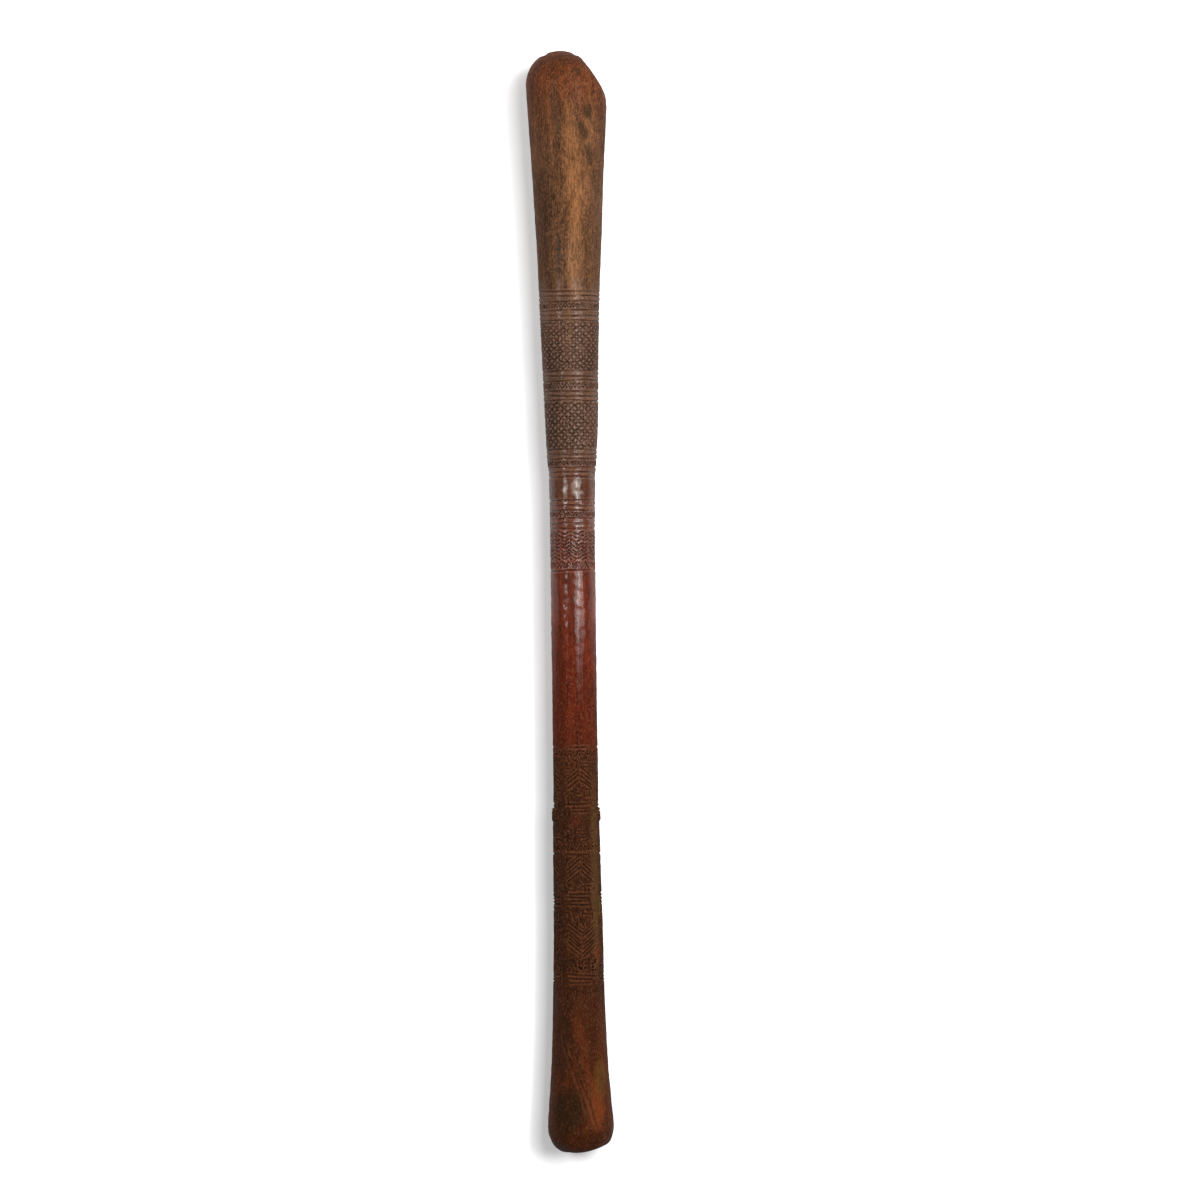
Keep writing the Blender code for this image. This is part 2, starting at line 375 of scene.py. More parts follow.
class Carving:
    """Depth of the knife work on a grid of distances along the stick and angles round it."""

    def __init__(self, distances, radii):
        self.distances = distances
        self.radii = radii
        self.angles = TURN * np.arange(COLUMNS) / COLUMNS
        self.depth = np.zeros((len(distances), COLUMNS))
        self.pits = np.zeros((len(distances), COLUMNS))
        self.chance = np.random.default_rng(SEED)

    def radius(self, distance):
        return float(np.interp(distance, self.distances, self.radii))

    def window(self, low, high, start, end):
        """Rows and columns of the grid between two distances and two angles."""
        rows = np.arange(*np.searchsorted(self.distances, (low, high)))
        step = TURN / COLUMNS
        columns = np.arange(math.floor(start / step), math.ceil(end / step) + 1)
        return rows, columns

    def cut(self, start, end, width, depth, jitter=0.0003):
        """One straight cut between two (distance, angle) points, shallower towards its ends."""
        radius = self.radius((start[0] + end[0]) / 2)
        shift = self.chance.normal(0.0, jitter, 4)
        a = np.array([start[0] + shift[0], radius * start[1] + shift[1]])
        b = np.array([end[0] + shift[2], radius * end[1] + shift[3]])
        depth *= self.chance.uniform(*DEPTH_SPREAD)
        low, high = np.minimum(a, b) - width, np.maximum(a, b) + width
        rows, columns = self.window(low[0], high[0], low[1] / radius, high[1] / radius)
        if not len(rows):
            return
        s = self.distances[rows][:, None]
        c = (columns * TURN / COLUMNS * radius)[None, :]
        run = b - a
        length = max(float(np.hypot(*run)), 1e-6)
        t = np.clip(((s - a[0]) * run[0] + (c - a[1]) * run[1]) / length**2, 0.0, 1.0)
        off = np.hypot(s - a[0] - t * run[0], c - a[1] - t * run[1])
        taper = np.clip(np.minimum(t, 1 - t) * length / (0.9 * width) + 0.35, 0.0, 1.0)
        shape = depth * taper * np.clip(1 - (2 * off / width) ** 2, 0.0, 1.0)
        deepen(self.depth, rows, columns, shape)

    def path(self, points, width, depth, jitter=NEAT):
        for start, end in zip(points, points[1:]):
            self.cut(start, end, width, depth, jitter)

    def pit(self, distance, angle, size, depth):
        """A small round hole, as left by a knife point that is turned."""
        radius = self.radius(distance)
        turn = size / radius
        rows, columns = self.window(distance - size, distance + size, angle - turn, angle + turn)
        if not len(rows):
            return
        s = self.distances[rows][:, None] - distance
        c = (columns * TURN / COLUMNS - angle)[None, :] * radius
        shape = np.clip(1 - 4 * (s**2 + c**2) / size**2, 0.0, 1.0) ** 0.7
        deepen(self.depth, rows, columns, depth * shape)
        deepen(self.pits, rows, columns, shape)

    def wave_round(self, count):
        """A wave that goes round the stick a whole number of times, from a random start."""
        return np.cos(count * self.angles + self.chance.uniform(0, TURN))

    def ring(self, distance, width, depth, waviness=0.00045):
        """A groove right round the stick, slightly wavy and uneven in depth."""
        swing = sum(math.sqrt(1 / count) * self.wave_round(count) for count in (1, 2, 3, 5))
        uneven = sum(self.wave_round(count) for count in (2, 5, 9, 14))
        centre = distance + waviness * swing[None, :]
        rows, _ = self.window(distance - 2 * width, distance + 2 * width, 0.0, 0.0)
        off = np.abs(self.distances[rows][:, None] - centre)
        strength = depth * np.clip(0.9 + 0.2 * uneven[None, :], 0.25, 1.2)
        shape = strength * np.clip(1 - (2 * off / width) ** 2, 0.0, 1.0)
        self.depth[rows] = np.maximum(self.depth[rows], shape)


def blurred(depth, reach):
    """Mean depth over a square of cells round each cell."""
    for axis in (0, 1):
        shifts = [np.roll(depth, shift, axis=axis) for shift in range(-reach, reach + 1)]
        depth = sum(shifts) / len(shifts)
    return depth


def count_round(carving, distance, pitch):
    """How many figures of about this pitch fit round the stick."""
    return max(3, round(TURN * carving.radius(distance) / pitch))


def middles(low, high, count):
    """The middles of equal stretches between two distances."""
    return [low + (index + 0.5) * (high - low) / count for index in range(count)]


def carve_motifs(carving, low, high, style):
    """A row between two distances: a zigzag all the way round, its teeth filled by turns."""
    middle = (low + high) / 2
    half = 0.44 * (high - low)
    foot, peak = middle - half, middle + half
    count = count_round(carving, middle, MOTIF_PITCH)
    step = TURN / count
    for index in range(count):
        angle = index * step
        tooth = angle + step / 2
        carving.path([(foot, angle), (peak, tooth), (foot, angle + step)], *ZIGZAG_CUT)
        filling = (index + style) % 3
        if filling == 0:
            carving.pit(middle - 0.35 * half, tooth, *WIDE_PIT)
            carving.pit(middle + 0.55 * half, angle, *VALLEY_PIT)
        elif filling == 1:
            nested = [(foot, tooth - 0.22 * step), (middle, tooth), (foot, tooth + 0.22 * step)]
            carving.path(nested, *TOOTH_CUT)
            carving.pit(middle + 0.40 * half, angle, *TOOTH_PIT)
        else:
            for side in (-1, 1):
                carving.cut((peak, angle + side * 0.20 * step), (middle, angle), *TICK_CUT)
            carving.pit(middle - 0.40 * half, tooth, *SMALL_PIT)


def carve_lattice(carving, low, high):
    """Crossed cuts that leave rows of small raised lozenges."""
    columns = count_round(carving, (low + high) / 2, LATTICE_PITCH)
    rows = round((high - low) / LATTICE_ROW)
    cell = (high - low) / rows
    step = TURN / columns
    for row in range(rows):
        bottom, middle, top = (low + (row + share) * cell for share in (0.0, 0.5, 1.0))
        for column in range(columns):
            angle = column * step
            for side in (-1, 1):
                points = [(bottom, angle), (middle, angle + side * step / 2), (top, angle)]
                carving.path(points, *LATTICE_CUT, 0.0006)


def carve_chevrons(carving, low, high, angle, half_width, pitch, slope, knife=CHEVRON_CUT):
    """A stack of arrows that point to the bell, or to the mouth where the slope is negative."""
    count = max(1, round((high - low) / pitch))
    rise = slope * half_width * carving.radius((low + high) / 2)
    for middle in middles(low, high, count):
        tip = middle + rise / 2
        for side in (-1, 1):
            reach = half_width * carving.chance.uniform(0.8, 1.0)
            start = (tip, angle + side * 0.06 * half_width)
            end = (tip - rise * reach / half_width, angle + side * reach)
            carving.cut(start, end, *knife, HASTY)


def carve_bars(carving, low, high, angle, half_width):
    """A stack of short cuts across the stick."""
    for distance in middles(low, high, max(1, round((high - low) / BAR_PITCH))):
        lean = carving.chance.normal(0.0, 0.0006)
        start = angle - half_width * carving.chance.uniform(0.5, 1.1)
        end = angle + half_width * carving.chance.uniform(0.5, 1.1)
        carving.cut((distance - lean, start), (distance + lean, end), *BAR_CUT)


def carve_strokes(carving, low, high, angle, half_width):
    """Short cuts side by side, most of them across the stick and some along it."""
    for _ in range(round((high - low) / STROKE_PITCH)):
        distance = carving.chance.uniform(low, high)
        place = angle + carving.chance.uniform(-1.0, 1.0) * half_width
        length = carving.chance.uniform(0.003, 0.008)
        turn = carving.chance.normal(0.0, 0.25)
        if carving.chance.uniform() < 0.3:
            turn += math.pi / 2
        rise = length * math.sin(turn) / 2
        reach = length * math.cos(turn) / 2 / carving.radius(distance)
        carving.cut((distance - rise, place - reach), (distance + rise, place + reach), *STROKE_CUT)


def carve_upper(carving):
    """The upper carving: sets of ring grooves with a band of figures below each."""
    place = LENGTH - HEAD
    for index, (kind, height) in enumerate(BANDS):
        for groove in range(GROOVES_IN_SET):
            carving.ring(place - groove * GROOVE_PITCH, GROOVE_WIDTH, GROOVE_DEPTH)
        place -= (GROOVES_IN_SET - 1) * GROOVE_PITCH
        margin = GROOVE_WIDTH / 2 + BAND_MARGIN
        low, high = place - height + margin, place - margin
        if kind == "motifs":
            carve_motifs(carving, low, high, index)
        elif kind == "lattice":
            carve_lattice(carving, low, high)
        elif kind == "zigzags":
            carve_zigzags(carving, low, high)
        place -= height
    carving.ring(place, GROOVE_WIDTH, GROOVE_DEPTH)


def carve_zigzags(carving, low, high):
    """Columns of chevrons, turned by turns to the bell and the mouth, pits between them, and a row
    of motifs at their foot."""
    step = TURN / FIELD_COLUMNS
    foot = low + FIELD_FOOT
    start, stop = foot + FIELD_MARGIN, high - FIELD_MARGIN
    for column in range(FIELD_COLUMNS):
        angle = (column + 0.35) * step
        slope = 0.6 if column % 2 else -0.6
        carve_chevrons(carving, start, stop, angle, 0.44 * step, FIELD_PITCH, slope, FIELD_CUT)
        for spot in middles(foot, high, FIELD_PITS):
            carving.pit(spot, angle + 0.5 * step, *FIELD_PIT)
    carve_motifs(carving, low, foot, 1)


# Rows of the lower carving: kind, lowest and highest distance.
LOWER_ROWS = (
    ("bars", 0.4395, 0.4440),
    ("motifs", 0.4315, 0.4395),
    ("strokes", 0.4180, 0.4310),
    ("arrows up", 0.3990, 0.4180),
    ("strokes", 0.3830, 0.3960),
    ("bars", 0.3700, 0.3820),
    ("strokes", 0.3370, 0.3520),
    ("motifs", 0.3285, 0.3360),
    ("bars", 0.3225, 0.3280),
    ("arrows up", 0.2980, 0.3210),
    ("strokes", 0.2850, 0.2970),
    ("bars", 0.2690, 0.2840),
    ("strokes", 0.2510, 0.2680),
    ("arrows down", 0.2180, 0.2490),
    ("pits", 0.1970, 0.2130),
    ("bars", 0.1840, 0.1960),
)
PANELS = 4
PANEL_SHARE = 0.80
FIRST_PANEL = math.radians(9)


def carve_lower(carving):
    """The lower carving: four panels side by side, each a stack of bars, arrows, figures and pits."""
    plain = {"bars": carve_bars, "strokes": carve_strokes, "pits": carve_pits}
    slopes = {"arrows up": CHEVRON_SLOPE, "arrows down": -CHEVRON_SLOPE}
    half_width = PANEL_SHARE * math.pi / PANELS
    for kind, low, high in LOWER_ROWS:
        if kind == "motifs":
            carve_motifs(carving, low, high, 2)
            continue
        for panel in range(PANELS):
            place = (low, high, FIRST_PANEL + TURN * panel / PANELS, half_width)
            if kind in plain:
                plain[kind](carving, *place)
            else:
                carve_chevrons(carving, *place, CHEVRON_PITCH, slopes[kind])


def carve_pits(carving, low, high, angle, half_width):
    """Turned pits scattered close together, the wider ones deeper."""
    for _ in range(PITS_IN_PANEL):
        distance = carving.chance.uniform(low, high)
        place = angle + carving.chance.uniform(-1.0, 1.0) * half_width
        size = carving.chance.uniform(0.0018, 0.0030)
        carving.pit(distance, place, size, 0.55 * size)


# Furrows that curve down the flare: where each starts, as (distance, angle in degrees), and the
# course that they share from there, as changes of both.
FURROWS = ((0.133, -38), (0.116, -20), (0.126, 130), (0.118, 142), (0.110, -140))
FURROW_COURSE = ((0.000, 0), (-0.012, 5), (-0.026, 13), (-0.042, 25), (-0.060, 39), (-0.086, 50))


def carve_furrows(carving):
    """Long shallow furrows that curve down and round the flare."""
    for start, degrees in FURROWS:
        points = [(start + fall, math.radians(degrees + turn)) for fall, turn in FURROW_COURSE]
        carving.path(points, *FURROW_CUT, HASTY)


def carve_nicks(carving):
    """Stray nicks and short scratches of long use, all over the stick."""
    for _ in range(NICKS):
        distance = carving.chance.uniform(0.03, LENGTH - 0.045)
        angle = carving.chance.uniform(0.0, TURN)
        length = carving.chance.uniform(0.002, 0.009)
        turn = carving.chance.normal(0.0, 0.5)
        reach = length * math.sin(turn) / carving.radius(distance)
        depth = carving.chance.uniform(0.00008, 0.0003)
        end = (distance + length * math.cos(turn), angle + reach)
        carving.cut((distance, angle), end, NICK_WIDTH, depth)


# Heights of the maker's tool facets, of slow bumps, and of small dents, which handling deepened.
TOOL_FACETS = 0.00013
SLOW_BUMPS = 0.00009
DENTS = 0.00003
DENTS_OF_HANDLING = 0.00006


def waves(distances, angles, lengths, counts, seed):
    """Smooth uneven height between about -1 and 1: a sum of waves along and round the stick."""
    chance = np.random.default_rng(seed)
    total = np.zeros((len(distances), len(angles)))
    for length in lengths:
        for count in counts:
            phase = chance.uniform(0, TURN)
            along = TURN * distances[:, None] / (length * chance.uniform(0.8, 1.25))
            total += np.cos(along + count * angles[None, :] + phase)
    return total / math.sqrt(len(lengths) * len(counts))


def hand_work(distances, angles):
    """Heights left by tools and hands: long soft facets along the stick, slow bumps and dents."""
    facets = waves(distances, angles, (0.11, 0.19), (-9, -6, 6, 8, 11), 3)
    bumps = waves(distances, angles, (0.018, 0.031), (-4, -2, 3, 5, 7), 4)
    dents = waves(distances, angles, (0.009, 0.014), (-8, -5, 4, 7, 12), 7)
    handled = np.interp(distances, *zip(*POLISH))[:, None]
    dent_height = DENTS + DENTS_OF_HANDLING * handled**2
    return TOOL_FACETS * facets + SLOW_BUMPS * bumps + dent_height * dents


def collar(distances, angles):
    """Height of the raised collar, which is a pair of lugs at the two sides."""
    along = 1 - smoothstep(np.abs(distances - COLLAR), 0.55 * COLLAR_HALF_LENGTH, COLLAR_HALF_LENGTH)
    round_it = 0.25 + 0.75 * smoothstep(np.abs(np.sin(angles)), 0.72, 0.97)
    return COLLAR_HEIGHT * along[:, None] * round_it[None, :]


# --- Meshes ---


def crown_shift(distances):
    """How far the crown's centre line leans to the left."""
    below = np.clip((LENGTH + CROWN_CUT - distances) / CROWN_HEIGHT, 0.0, 1.0)
    return CROWN_LEAN * (1 - np.sqrt(1 - (1 - below) ** 2))


def section_normals(section):
    """Outward directions (along, radial) of a closed section."""
    run = np.roll(section, -1, axis=0) - np.roll(section, 1, axis=0)
    run /= np.maximum(np.hypot(run[:, 0], run[:, 1]), 1e-9)[:, None]
    return np.stack([-run[:, 1], run[:, 0]], axis=1)


def raised(section, height):
    """Radius and distance of the section's points, moved outward by a height at each angle."""
    normals = section_normals(section)
    radius = section[:, 1][:, None] + normals[:, 1][:, None] * height
    return radius, section[:, 0][:, None] + normals[:, 0][:, None] * height


def plane_cut(points, across, distance, slope, edge):
    """Presses what stands past a sloped plane down to it, and leaves a worn edge round the cut."""
    normal = np.array([math.sin(slope), 0.0, math.cos(slope)])
    past = (points - np.array([across, 0.0, distance])) @ normal
    press = edge * np.logaddexp(0.0, past / edge)
    return points - press[..., None] * normal


def worn_rim(points, radius, distances):
    """Lowers the bell's rim at its two sides, which leaves it domed as seen from above."""
    near_rim = 1 - smoothstep(radius, *RIM_SAG_RADII)
    far, close = RIM_SAG_REACH
    near_end = smoothstep(distances, LENGTH - far, LENGTH - close)
    off = (points[..., 0] + RIM_CENTRE) / RIM_SAG_RADII[0]
    sides = np.clip(off**2, 0.0, 1.0) * np.where(off > 0, SAG_RIGHT, SAG_LEFT)
    points[..., 2] -= RIM_SAG * sides * (near_rim * near_end)[:, None]
    return points


def hollow_facet(points):
    """Presses a shallow hollow across the upper part of the crown's facet."""
    across, below = FACET_HOLLOW_PLACE
    normal = np.array([math.sin(FACET_SLOPE), 0.0, math.cos(FACET_SLOPE)])
    middle = np.array([across, 0.0, LENGTH - below])
    offset = points - middle
    flat = offset - (offset @ normal)[..., None] * normal
    flat[..., 1] *= FACET_HOLLOW_STRETCH
    press = FACET_HOLLOW * np.exp(-np.sum(flat**2, axis=-1) / FACET_HOLLOW_SIZE**2)
    near = 1 - smoothstep(np.abs(offset @ normal), *FACET_HOLLOW_REACH)
    return points - (press * near)[..., None] * normal


def to_world(points):
    """World places of points that are given as (across, up, along) the stick."""
    axes = np.array([ACROSS, UP, ALONG])
    return np.array(FOOT) + points @ axes


def ring_faces(rows, columns):
    """Quads of a closed tube of rings whose last ring joins the first."""
    i, j = np.meshgrid(np.arange(rows), np.arange(columns), indexing="ij")
    i2, j2 = (i + 1) % rows, (j + 1) % columns
    corners = (i * columns + j, i2 * columns + j, i2 * columns + j2, i * columns + j2)
    return np.stack(corners, axis=-1).reshape(-1, 4)


def make_piece(name, points, faces, material, node):
    """A smooth mesh that rides on the root body and replaces one node of the CAD model."""
    mesh = bpy.data.meshes.new(name)
    mesh.from_pydata(points.reshape(-1, 3).tolist(), [], faces.tolist())
    mesh.materials.append(material)
    mesh.shade_smooth()
    mesh.update()
    piece = add(name, mesh)
    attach(piece, "root")
    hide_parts(node)
    return piece


def store(mesh, name, rows, values, shape):
    """Keeps values of the side's rows as an attribute that the wood's material reads."""
    layer = mesh.attributes.new(name, "FLOAT", "POINT")
    everywhere = np.zeros(shape, dtype=np.float32)
    everywhere[rows] = values
    layer.data.foreach_set("value", everywhere.ravel())


def body_heights(outside, inside, side, angles, carved):
    """How far the body's surface stands out past its section, with the knife work taken off."""
    fade = smoothstep(outside[:, 1], *HAND_WORK_RADII)[:, None]
    outer = fade * (FULLNESS + hand_work(outside[:, 0], angles))
    outer[side] += collar(outside[side, 0], angles) - carved
    hollow = waves(inside[:, 0], angles, (0.05, 0.13), (-3, 2, 4, 5), 5)
    deep = smoothstep(inside[:, 0], SEAT_DEPTH + 0.01, SEAT_DEPTH + 0.06)
    deep *= 1 - smoothstep(inside[:, 0], LENGTH - 0.05, LENGTH - 0.01)
    return np.concatenate([outer, BORE_UNEVENNESS * deep[:, None] * hollow])


def shaped(section, angles, height):
    """The body's points (across, up, along), leaning and wandering, with its worn ends."""
    radius, along = raised(section, height)
    distances = section[:, 0]
    shift = crown_shift(distances) + smooth_curve(WANDER, distances)
    across = radius * np.sin(angles) - shift[:, None]
    points = np.stack([across, radius * np.cos(angles), along], axis=-1)
    points = worn_rim(points, section[:, 1], distances)
    facet_across = OUTLINE[-1][1] - FACET_INSET
    points = plane_cut(points, facet_across, LENGTH - FACET_BELOW, FACET_SLOPE, FACET_EDGE)
    points = hollow_facet(points)
    return plane_cut(points, SLANT_START, 0.0, math.pi - SLANT_SLOPE, SLANT_EDGE)


def build_body(material):
    outside, inside, side = body_section()
    section = np.concatenate([outside, inside])
    carving = Carving(section[side, 0], section[side, 1])
    carve_upper(carving)
    carve_lower(carving)
    carve_furrows(carving)
    figures = carving.depth.copy()
    carve_nicks(carving)

    height = body_heights(outside, inside, side, carving.angles, carving.depth)
    points = to_world(shaped(section, carving.angles, height))
    faces = ring_faces(*height.shape)
    piece = make_piece("carved_body", points, faces, material, "wooden_body")
    near_cuts = np.clip(blurred(figures, RIDGE_REACH) / RIDGE_DEPTH, 0.0, 1.0)
    uncut = 1 - np.clip(figures / RIDGE_DEPTH, 0.0, 1.0)
    store(piece.data, "cut", side, figures / GROOVE_DEPTH, height.shape)
    store(piece.data, "pits", side, carving.pits, height.shape)
    store(piece.data, "ridges", side, near_cuts * uncut, height.shape)


def build_wax(material):
    section = wax_section()
    angles = TURN * np.arange(WAX_COLUMNS) / WAX_COLUMNS
    dents = waves(section[:, 0], angles, (0.02, 0.05), (-3, -2, 2, 4), 6)
    front = 1 - smoothstep(section[:, 0], WAX_RECESS + 0.001, WAX_RECESS + 0.008)
    inner = smoothstep(SEAT_RADIUS - GAP - section[:, 1], 0.0002, 0.0012)
    depth = WAX_DENTS * (front * inner)[:, None] * (dents + 1.5)
    radius, along = raised(section, -depth)
    points = np.stack([radius * np.sin(angles), radius * np.cos(angles), along], axis=-1)
    faces = ring_faces(len(section), WAX_COLUMNS)
    make_piece("wax_ring", to_world(points), faces, material, "wax_mouthpiece")


# --- Materials ---


class Graph:
    """Short calls for the nodes of one material."""

    def __init__(self, name):
        self.material = bpy.data.materials.new(name)
        self.material.use_nodes = True
        self.tree = self.material.node_tree
        self.shader = self.tree.nodes["Principled BSDF"]

    def fill(self, sockets, inputs):
        """Gives sockets their inputs: plain values, or links from other nodes."""
        for name, value in inputs.items():
            if isinstance(value, bpy.types.NodeSocket):
                self.tree.links.new(value, sockets[name])
            else:
                sockets[name].default_value = value

    def look(self, inputs):
        self.fill(self.shader.inputs, inputs)

    def node(self, kind, inputs, output=0, **settings):
        """A new node's output."""
        node = self.tree.nodes.new("ShaderNode" + kind)
        for name, value in settings.items():
            setattr(node, name, value)
        self.fill(node.inputs, inputs)
        return node.outputs[output]

    def stretched(self, vector, scale, turn=0.0, shift=(0.0, 0.0, 0.0), kind="POINT"):
        inputs = {"Vector": vector, "Location": shift, "Rotation": (0.0, 0.0, turn), "Scale": scale}
        return self.node("Mapping", inputs, vector_type=kind)

    def noise(self, vector, scale=1.0, detail=3.0, roughness=0.55, distortion=0.0, output="Fac"):
        inputs = {"Vector": vector, "Scale": scale, "Detail": detail}
        inputs.update({"Roughness": roughness, "Distortion": distortion})
        return self.node("TexNoise", inputs, output)

    def ramp(self, factor, stops):
        colour = self.node("ValToRGB", {"Fac": factor}, "Color")
        elements = colour.node.color_ramp.elements
        while len(elements) < len(stops):
            elements.new(0.5)
        for element, (place, stop) in zip(elements, stops):
            element.position = place
            element.color = stop
        return colour

    def range(self, value, low, high, to_low=0.0, to_high=1.0, kind="LINEAR"):
        """Carries low to to_low and high to to_high, and holds a value beyond them at the nearer."""
        inputs = {"Value": value, "From Min": low, "From Max": high, "To Min": to_low, "To Max": to_high}
        return self.node("MapRange", inputs, "Result", interpolation_type=kind)

    def math(self, operation, a, b=0.0):
        return self.node("Math", {0: a, 1: b}, operation=operation)

    def times(self, a, b):
        return self.math("MULTIPLY", a, b)

    def plus(self, a, b):
        return self.math("ADD", a, b)

    def mix(self, factor, a, b, blend="MIX"):
        inputs = {"Factor": factor, 6: a, 7: b}
        return self.node("Mix", inputs, 2, data_type="RGBA", blend_type=blend)

    def blob(self, vector, centre, size, turn):
        """1 at the centre of an ellipsoid, falling softly to 0 at its edge."""
        inside = self.stretched(vector, size, turn, centre, "TEXTURE")
        length = self.node("VectorMath", {0: inside}, "Value", operation="LENGTH")
        return self.range(length, 1.15, 0.45, kind="SMOOTHSTEP")

    def attribute(self, name):
        return self.node("Attribute", {}, "Fac", attribute_name=name)

    def bump(self, height, distance, before=None):
        """The normal of a rough surface, on top of the one before it."""
        inputs = {"Height": height, "Distance": distance, "Strength": 1.0}
        if before is not None:
            inputs["Normal"] = before
        return self.node("Bump", inputs)


# Share of a tone's brightness that is the wood's own. The lights give the rest.
ALBEDO = 0.54

# Tones of the wood along the stick: distance, darker tone, lighter tone.
WOOD_TONES = (
    (0.000, (38, 19, 8), (86, 40, 14)),
    (0.060, (46, 22, 9), (100, 46, 16)),
    (0.130, (48, 23, 9), (92, 42, 16)),
    (0.180, (42, 19, 8), (76, 37, 16)),
    (0.300, (38, 18, 8), (66, 35, 16)),
    (0.430, (46, 22, 11), (78, 40, 21)),
    (0.450, (64, 18, 9), (108, 40, 18)),
    (0.540, (68, 18, 9), (132, 47, 20)),
    (0.630, (72, 23, 12), (128, 54, 30)),
    (0.700, (68, 30, 18), (112, 60, 40)),
    (0.736, (66, 35, 24), (110, 66, 48)),
    (0.760, (62, 41, 31), (110, 78, 61)),
    (0.930, (63, 41, 29), (113, 80, 60)),
    (0.955, (62, 41, 28), (124, 86, 59)),
    (1.100, (66, 42, 28), (132, 88, 58)),
    (1.165, (76, 38, 23), (124, 66, 36)),
)
# How polished the surface is along the stick: distance, share.
POLISH = (
    (0.000, 0.44),
    (0.170, 0.40),
    (0.200, 0.10),
    (0.430, 0.15),
    (0.452, 0.35),
    (0.500, 0.45),
    (0.560, 0.62),
    (0.600, 0.90),
    (0.680, 1.00),
    (0.736, 1.00),
    (0.750, 0.66),
    (0.930, 0.62),
    (0.960, 0.38),
    (1.190, 0.45),
)
# Marks of wear and use, and some painted light and shade: pale stripes on the head's lit right side,
# its darker left side and right edge, and a painted reflection across the glossy ring. Columns: angle
# round the stick in degrees, distance, half sizes across and along, turn in degrees, tone, strength.
MARKS_AND_PAINTED_LIGHT = (
    # Pale stripes on the head's lit right side: partly the wood's own paler tone, partly painted light.
    (9, 1.060, 0.0130, 0.110, 3, (162, 108, 66), 0.70),
    (12, 0.965, 0.0120, 0.050, 0, (156, 110, 76), 0.62),
    (32, 1.080, 0.0120, 0.080, -4, (146, 98, 64), 0.50),
    # The head's left side, away from the key light: partly darker wood, partly painted shade.
    (-44, 1.050, 0.0130, 0.130, 0, (64, 42, 32), 0.60),
    (-17, 0.975, 0.0042, 0.040, 0, (56, 54, 49), 0.72),
    (-14, 1.120, 0.0035, 0.030, 4, (62, 52, 42), 0.55),
    (14, 1.174, 0.0060, 0.007, 0, (52, 48, 30), 0.60),
    (-12, 1.135, 0.0090, 0.030, 25, (62, 44, 28), 0.50),
    (33, 1.131, 0.0065, 0.014, 14, (42, 38, 24), 0.75),
    (24, 1.112, 0.0075, 0.014, 25, (46, 38, 24), 0.70),
    (36, 1.086, 0.0060, 0.019, 20, (50, 44, 34), 0.65),
    # Darker along the head's right edge: painted shade.
    (56, 1.020, 0.0120, 0.070, 0, (96, 70, 54), 0.50),
    (1, 0.900, 0.0040, 0.027, 0, (140, 100, 60), 0.60),
    (14, 0.865, 0.0100, 0.050, 0, (128, 96, 72), 0.22),
    # A painted reflection across the glossy ring, partly pale wear.
    (9, 0.723, 0.0075, 0.010, 0, (158, 136, 120), 0.70),
    (-17, 0.720, 0.0040, 0.009, 0, (150, 132, 118), 0.60),
    (-42, 0.820, 0.0110, 0.090, 0, (58, 40, 32), 0.55),
    (-38, 0.540, 0.0060, 0.085, 0, (72, 24, 12), 0.60),
    (22, 0.600, 0.0060, 0.035, 0, (140, 56, 28), 0.50),
    (-6, 0.360, 0.0085, 0.008, 0, (88, 36, 22), 0.50),
    (48, 0.300, 0.0075, 0.140, 0, (98, 70, 38), 0.55),
    (62, 0.270, 0.0030, 0.011, 0, (84, 76, 20), 0.75),
    (-34, 0.207, 0.0130, 0.010, 0, (34, 20, 11), 0.70),
    (52, 0.217, 0.0070, 0.013, 0, (110, 46, 24), 0.50),
    (44, 0.078, 0.0110, 0.034, -10, (112, 74, 30), 0.60),
    (34, 0.046, 0.0130, 0.026, -14, (122, 58, 24), 0.70),
    (-26, 0.046, 0.0210, 0.034, 0, (30, 24, 11), 0.80),
    (-36, 0.120, 0.0130, 0.050, 0, (48, 28, 16), 0.55),
    (158, 1.040, 0.0160, 0.090, 4, (150, 102, 66), 0.60),
    (-122, 0.990, 0.0070, 0.050, 0, (52, 44, 38), 0.65),
    (104, 1.110, 0.0080, 0.022, 12, (46, 38, 26), 0.70),
    (-148, 0.090, 0.0120, 0.034, -12, (112, 78, 36), 0.60),
    (128, 0.120, 0.0110, 0.040, 8, (44, 26, 14), 0.60),
)
# Diagonal streaks of redder wood in the flare: angle in degrees, distance, half sizes across and
# along, strength.
FLARE_STREAKS = (
    (-14, 0.100, 0.0020, 0.038, 0.60),
    (-2, 0.080, 0.0020, 0.040, 0.60),
    (12, 0.056, 0.0020, 0.036, 0.60),
    (24, 0.075, 0.0060, 0.044, 0.50),
    (2, 0.128, 0.0070, 0.034, 0.34),
    (150, 0.070, 0.0030, 0.042, 0.60),
    (-110, 0.085, 0.0024, 0.040, 0.60),
)
STREAK_TURN = 20
STREAK_TONE = (112, 52, 22)
# How far noise pushes the marks' places about, in all.
MARK_WARP = (0.010, 0.026, 0.010)

# Tones of checks in the wood, of worn and sooty fibres, of ridges painted paler (rubbed wear and painted
# highlight), and inside cuts and pits, painted darker as painted shade, with dust in the lower carving.
CHECK_TONE = (30, 18, 10)
WORN_TONE = (164, 116, 76)
SOOT_TONE = (36, 22, 14)
RIDGE_WEAR_AND_HIGHLIGHT_TONE = (170, 124, 98)
DUSTY_RIDGE_WEAR_AND_HIGHLIGHT_TONE = (114, 68, 42)
CUT_PAINTED_SHADE_TONE = (26, 14, 8)
DUSTY_CUT_TONE = (52, 30, 16)
PIT_PAINTED_SHADE_TONE = (14, 9, 7)

